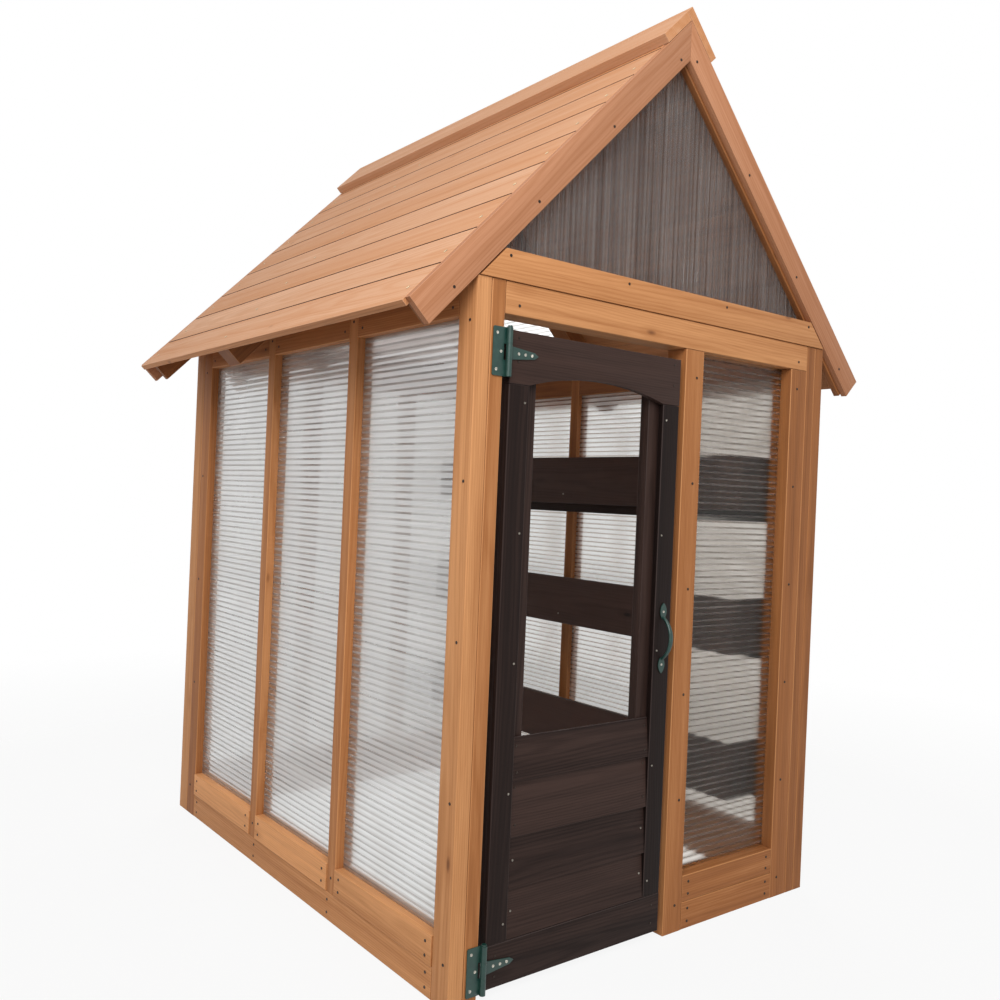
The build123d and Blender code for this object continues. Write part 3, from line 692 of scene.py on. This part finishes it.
def timber(node):
    """Wooden boards of a CAD node."""
    bm = flat_copy(node)
    if node in ROOF_BOARDS:
        mark_joints(bm)
    else:
        draw_in(bm, SHADOW_GAP)
    ease_edges(bm, WORN_EDGE)
    bm.normal_update()
    if node in HIGHLIGHTED_TOPS:
        paint_top_highlights(bm)
    cut_from_logs(bm, node)
    slot = SLOT_OF[node]
    look = WOODS["barge_wood" if "barge" in node else slot]
    show(node + ".boards", bm, [look, ROOF_JOINT_DIRT_AND_SHADE], BODY_OF[node], [node])


def metalwork(node):
    """Hinge and handle solids with softened edges."""
    bm = flat_copy(node)
    ease_edges(bm, WORN_EDGE / 2)
    show(node + ".metal", bm, [GREEN], BODY_OF[node], [node])


# Panes, sizes in metres
FLUTE = 0.021
FLUTE_BULGE = 0.0004
LIP = 0.0070


def strip(bm, first, second, way, part):
    """Face between two rails, with its normal pointing a given way."""
    face = bm.faces.new((first[0], first[1], second[1], second[0]))
    face.material_index = part
    face.normal_update()
    if face.normal.dot(way) < 0:
        face.normal_flip()


def flute(bm, spot, lines, ends, thick):
    """Twin-wall sheet. spot(a, b, d) places a point: a across the flutes, b along, d through."""
    through = Vector(spot(0, 0, 1)) - Vector(spot(0, 0, 0))

    def rail(a, d):
        return [bm.verts.new(spot(a, b, d)) for b in ends(a)]

    for d, bulge, way in ((0.0, -FLUTE_BULGE, -through), (thick, FLUTE_BULGE, through)):
        last = None
        for a in lines:
            low, high = rail(max(a - LIP / 2, lines[0]), d), rail(min(a + LIP / 2, lines[-1]), d)
            if last:
                crest = rail((before + a) / 2, d + bulge)
                strip(bm, last, crest, way, 0)
                strip(bm, crest, low, way, 0)
            strip(bm, low, high, way, 1)
            last, before = high, a
    for a in lines:
        strip(bm, rail(a, 0.0), rail(a, thick), UP, 1)


def flute_lines(low, high):
    count = max(1, round((high - low) / FLUTE))
    return [low + (high - low) * i / count for i in range(count + 1)]


def show_sheet(node, bm, sheet):
    show(node + ".sheets", bm, sheet, BODY_OF[node], [node], rounded=False)


def wall_panes(node):
    """Panes of a wall, with level flutes."""
    bm = bmesh.new()
    for low, high in solid_boxes(node):
        size = high - low
        if size.x < size.y:
            def spot(a, b, d, low=low):
                return low.x + d, b, a
            span, thick = (low.y, high.y), size.x
        else:
            def spot(a, b, d, low=low):
                return b, low.y + d, a
            span, thick = (low.x, high.x), size.y
        flute(bm, spot, flute_lines(low.z, high.z), lambda a, span=span: span, thick)
    show_sheet(node, bm, SHEET_OF.get(node, WALL_SHEET))


def gable_pane(node):
    """Pane of a gable, with upright flutes cut off by the slopes of the roof."""
    low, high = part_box(node)
    sides = [v.co.z for v in frame["nodes"][node].data.vertices if abs(v.co.x) > high[0] - WELD]
    slope = (high[2] - max(sides)) / high[0]

    def ends(a):
        return low[2], high[2] - abs(a) * slope

    def spot(a, b, d):
        return a, low[1] + d, b

    bm = bmesh.new()
    left = flute_lines(low[0], 0.0)
    flute(bm, spot, left + [-a for a in reversed(left[:-1])], ends, high[1] - low[1])
    show_sheet(node, bm, GABLE_SHEET)


def slope_pane(node):
    """Pane in the roof, with level flutes."""
    corner, along, across, normal, length, width = outer_faces(node, RIGHT + UP)[0]
    thick = spread(frame["nodes"][node].data.vertices, normal)

    def spot(a, b, d):
        return corner + across * a + along * b - normal * d

    bm = bmesh.new()
    flute(bm, spot, flute_lines(0.0, width), lambda a: (0.0, length), thick)
    show_sheet(node, bm, WALL_SHEET)


# Screws, sizes in metres
SCREW_PROUD = 0.0006
SCREW_CROSS = 0.0010
SCREW_SIDES = 16
CROSS_STEP = SCREW_SIDES // 4
# Shares of a head's radius: its flat top, and its cross on an arm and between two
HEAD_TOP = 0.86
CROSS_ARM = 0.62
CROSS_WAIST = 0.2
ROOF_SCREW_RADIUS = 0.0065
ROOF_SCREW_SHARE = 0.4
ROOF_SCREW_INSET = 0.045
FRAME_SCREW_RADIUS = 0.0046
HINGE_SCREW_RADIUS = 0.0048
HANDLE_SCREW_RADIUS = 0.0042
DOOR_SCREW_RADIUS = 0.0034
DARK_SCREW_RADIUS = 0.0036
SHELF_SCREW_RADIUS = 0.0034
METAL_THICKNESS = 0.003
SPADE_SCREW_INSET = 0.028
# Shares of a leaf's length and width, and of a strap's length
LEAF_SPOTS = ((0.13, 0.30), (0.5, 0.62), (0.87, 0.30))
STRAP_SPOTS = (0.40, 0.60, 0.80)


def screw_head(bm, at, out, radius):
    """Flat screw head with a cross recess, standing just proud of a surface."""
    turn = out.to_track_quat("Z", "Y").to_matrix().to_4x4()
    place = Matrix.Translation(at) @ turn @ Matrix.Rotation(dice.uniform(0, math.pi), 4, "Z")
    rim = []
    top = []
    cross = []
    low = Vector((0, 0, -SCREW_PROUD))
    high = Vector((0, 0, SCREW_PROUD))
    sunk = Vector((0, 0, SCREW_PROUD - SCREW_CROSS))
    for i in range(SCREW_SIDES):
        angle = 2 * math.pi * i / SCREW_SIDES
        ray = Vector((math.cos(angle), math.sin(angle), 0)) * radius
        inner = ray * CROSS_ARM + sunk if i % CROSS_STEP == 0 else ray * CROSS_WAIST + high
        rim.append(bm.verts.new(place @ (ray + low)))
        top.append(bm.verts.new(place @ (ray * HEAD_TOP + high)))
        cross.append(bm.verts.new(place @ inner))
    centre = bm.verts.new(place @ sunk)
    for i in range(SCREW_SIDES):
        j = (i + 1) % SCREW_SIDES
        bm.faces.new((rim[i], rim[j], top[j], top[i]))
        bm.faces.new((top[i], top[j], cross[j], cross[i])).material_index = 1
        bm.faces.new((cross[i], cross[j], centre)).material_index = 1


def spots_on(node, out, count, inset, shares, boards=slice(None)):
    """Screw places on the boards of a node: count along it, each with one at every share of its width."""
    spots = []
    for corner, along, across, normal, length, width in outer_faces(node, out)[boards]:
        step = (length - 2 * inset) / (count - 1)
        for i in range(count):
            foot = corner + along * (inset + i * step)
            spots += [(foot + across * (share * width), normal) for share in shares]
    return spots


def all_spots(table):
    return [spot for row in table for spot in spots_on(*row)]


def screws(name, spots, radius, material, body, head=None):
    """Screws of one kind as a piece. The flat of the head may have its own material."""
    bm = bmesh.new()
    for at, out in spots:
        screw_head(bm, at, out, radius)
    show(name, bm, [material, head or material], body)


# Rows: node, side, screws along a board, distance from its ends, shares of its width, and which boards
ENDS = (0.26, 0.74)
MIDDLE = (0.5,)
FRAME_SCREWS = (
    ("front_tie", FORWARD, 4, 0.10, (0.78,)),
    ("back_tie", BACKWARD, 4, 0.10, (0.78,)),
    ("front_header", FORWARD, 2, 0.05, (0.3,)),
    ("back_header", BACKWARD, 4, 0.05, ENDS),
    ("front_barge_left", FORWARD, 4, 0.13, (0.74,)),
    ("front_barge_right", FORWARD, 4, 0.11, (0.30,)),
    ("back_barge_left", BACKWARD, 4, 0.11, (0.30,)),
    ("back_barge_right", BACKWARD, 4, 0.13, (0.30,)),
    ("front_latch_stud", FORWARD, 6, 0.09, (0.62,)),
    ("front_right_stud", FORWARD, 6, 0.07, (0.4,)),
    ("front_sill", FORWARD, 2, 0.03, ENDS),
    ("front_bottom_board", FORWARD, 2, 0.03, ENDS),
    ("back_sills", BACKWARD, 2, 0.03, ENDS),
    ("back_bottom_board", BACKWARD, 4, 0.03, ENDS),
    ("back_studs", BACKWARD, 4, 0.06, MIDDLE),
    ("back_posts", BACKWARD, 5, 0.10, MIDDLE),
    ("left_sills", LEFT, 2, 0.03, ENDS),
    ("right_sills", RIGHT, 2, 0.03, ENDS),
    ("left_bottom_board", LEFT, 4, 0.03, ENDS),
    ("right_bottom_board", RIGHT, 4, 0.03, ENDS),
    ("left_top_rails", LEFT, 2, 0.03, ENDS),
    ("right_top_rails", RIGHT, 2, 0.03, ENDS),
    ("left_post_front", LEFT, 5, 0.12, (0.35,)),
    ("right_post_front", RIGHT, 5, 0.12, (0.35,)),
    ("left_post_back", LEFT, 5, 0.12, (0.65,)),
    ("right_post_back", RIGHT, 5, 0.12, (0.65,)),
    ("left_studs", LEFT, 2, 0.05, MIDDLE),
    ("right_studs", RIGHT, 2, 0.05, MIDDLE),
)
DOOR_SCREWS = (
    ("door_stile_hinge_side", FORWARD, 5, 0.05, (0.8,)),
    ("door_stile_latch_side", FORWARD, 5, 0.05, (0.2,)),
    ("door_siding", FORWARD, 2, 0.015, MIDDLE, slice(0, 2)),
)
DARK_DOOR_SCREWS = (
    ("door_top_rail", FORWARD, 2, 0.03, (0.42, 0.86)),
    ("door_bottom_rail", FORWARD, 2, 0.035, ENDS),
    ("door_siding", FORWARD, 2, 0.015, (0.2, 0.8), slice(2, 4)),
)
SHELF_SCREWS = (
    ("shelf_fronts", LEFT, 5, 0.03, (0.2,)),
)


def roof_screws():
    """One screw through each roof board into each of the rafters that it crosses."""
    lines = []
    for node in ("rafters_front", "rafters_mid", "rafters_back"):
        low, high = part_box(node)
        lines.append((low[1] + high[1]) / 2)
    spots = []
    for node, side in (("roof_boards_left", LEFT), ("roof_boards_right", RIGHT)):
        for corner, along, across, normal, length, width in outer_faces(node, side + UP):
            foot = corner + across * (ROOF_SCREW_SHARE * width)
            reach = [max(y - corner.y, ROOF_SCREW_INSET) for y in lines if y - corner.y < length]
            spots += [(foot + along * far, normal) for far in reach]
    screws("roof_screws", spots, ROOF_SCREW_RADIUS, SUNK, "house", BRASS)


def hinge_screws():
    """Three screws in each leaf and three in each strap."""
    on_leaf = []
    on_strap = []
    for corner, along, across, normal, length, width in outer_faces("hinge_leaves", FORWARD):
        for u, v in LEAF_SPOTS:
            on_leaf.append((corner + along * (u * length) + across * (v * width), normal))
    for low, high in solid_boxes("hinge_straps"):
        middle = (low.z + high.z) / 2
        for share in STRAP_SPOTS:
            x = low.x + share * (high.x - low.x)
            on_strap.append((Vector((x, high.y - METAL_THICKNESS, middle)), FORWARD))
    screws("leaf_screws", on_leaf, HINGE_SCREW_RADIUS, STEEL, "house")
    screws("strap_screws", on_strap, HINGE_SCREW_RADIUS, STEEL, "door")


def handle_screws():
    """One screw in each spade of the handle."""
    low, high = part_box("door_handle")
    middle = (low[0] + high[0]) / 2
    heights = (low[2] + SPADE_SCREW_INSET, high[2] - SPADE_SCREW_INSET)
    spots = [(Vector((middle, high[1] - METAL_THICKNESS, z)), FORWARD) for z in heights]
    screws("handle_screws", spots, HANDLE_SCREW_RADIUS, STEEL, "door")


for node, slot in SLOT_OF.items():
    if slot in WOODS:
        timber(node)
    elif slot == "green_metal":
        metalwork(node)
    elif "gable" in node:
        gable_pane(node)
    elif "roof" in node:
        slope_pane(node)
    else:
        wall_panes(node)
roof_screws()
hinge_screws()
handle_screws()
screws("frame_screws", all_spots(FRAME_SCREWS), FRAME_SCREW_RADIUS, BROWNED, "house")
screws("door_screws", all_spots(DOOR_SCREWS), DOOR_SCREW_RADIUS, DULL_STEEL, "door")
screws("dark_door_screws", all_spots(DARK_DOOR_SCREWS), DARK_SCREW_RADIUS, BROWNED, "door")
screws("shelf_screws", all_spots(SHELF_SCREWS), SHELF_SCREW_RADIUS, DULL_STEEL, "house")


# Floor, light and camera
FLOOR_RADIUS = 9.0
FLOOR_SIDES = 96
FLOOR_FADE = (2.4, 5.0)
FLOOR_GLOW = 0.9
FLOOR_SPECKLE = 26.0
FLOOR_DULL = 0.97
FLOOR_ROUGH = 0.8
CAMERA_AT = (-2.33785, -3.14536, 1.39621)
CAMERA_HEADING = math.radians(37.979)
CAMERA_TILT = math.radians(-0.072)
CAMERA_ROLL = math.radians(2.420)
CAMERA_LENS = 34.79
SENSOR = 36.0
LAMP_AIM = (0, 0, 1.4)
LAMP_SIZE = 3.5
KEY_AT = (-3.2, -4.2, 4.6)
KEY_POWER = 265.0
FILL_AT = (3.8, 4.4, 4.2)
FILL_POWER = 110.0
SKY_LIGHT = 0.52


def looked_at(tree):
    """One for the rays that see a white background, and nothing for those that light the object."""
    path = add(tree, "LightPath")
    seen = path.outputs["Is Camera Ray"]
    for kind in ("Is Glossy Ray", "Is Transmission Ray"):
        seen = calc(tree, "MAXIMUM", seen, path.outputs[kind])
    return seen


def floor_material():
    material, tree, shader = new_material("pale floor")
    place = object_place(tree)
    speckle = cloud(tree, place, detail=4.0, scale=FLOOR_SPECKLE)
    colour = blend(tree, speckle, FLOOR_PALE, scaled(FLOOR_PALE, FLOOR_DULL))
    give(tree, shader.inputs["Base Color"], colour)
    shader.inputs["Roughness"].default_value = FLOOR_ROUGH
    white = add(tree, "Emission", Color=WHITE, Strength=1.0).outputs[0]
    glow = calc(tree, "MULTIPLY", looked_at(tree), FLOOR_GLOW)
    lit = mix(tree, glow, shader.outputs[0], white)
    fade = remap(tree, length_of(tree, place), *FLOOR_FADE)
    faded = mix(tree, fade, lit, add(tree, "BsdfTransparent").outputs[0])
    give(tree, tree.nodes["Material Output"].inputs["Surface"], faded)
    return material


def floor():
    """Pale round floor that fades into the white surround."""
    bm = bmesh.new()
    bmesh.ops.create_circle(bm, cap_ends=True, radius=FLOOR_RADIUS, segments=FLOOR_SIDES)
    mesh = bpy.data.meshes.new("floor")
    bm.to_mesh(mesh)
    bm.free()
    mesh.materials.append(floor_material())
    ground = new_object("floor", mesh)


def surround():
    """White to look at, and a softer light on the object."""
    world = bpy.data.worlds.new("surround")
    bpy.context.scene.world = world
    world.use_nodes = True
    tree = world.node_tree
    light = tree.nodes["Background"]
    light.inputs["Color"].default_value = SKY
    light.inputs["Strength"].default_value = SKY_LIGHT
    white = add(tree, "Background", Color=WHITE, Strength=1.0).outputs[0]
    mixed = mix(tree, looked_at(tree), light.outputs[0], white)
    give(tree, tree.nodes["World Output"].inputs["Surface"], mixed)


def soft_lamp(name, at, power):
    lamp = bpy.data.lights.new(name, "AREA")
    lamp.size = LAMP_SIZE
    lamp.energy = power
    holder = new_object(name, lamp)
    holder.location = at
    holder.rotation_euler = (Vector(LAMP_AIM) - Vector(at)).to_track_quat("-Z", "Y").to_euler()


def camera():
    lens = bpy.data.cameras.new("camera")
    lens.lens = CAMERA_LENS
    lens.sensor_width = SENSOR
    holder = new_object("camera", lens)
    turn = Matrix.Rotation(-CAMERA_HEADING, 4, "Z") @ Matrix.Rotation(math.pi / 2 + CAMERA_TILT, 4, "X")
    holder.matrix_world = Matrix.Translation(CAMERA_AT) @ turn @ Matrix.Rotation(CAMERA_ROLL, 4, "Z")
    bpy.context.scene.camera = holder


floor()
surround()
soft_lamp("key", KEY_AT, KEY_POWER)
soft_lamp("fill", FILL_AT, FILL_POWER)
camera()
bpy.context.scene.view_settings.view_transform = "Standard"
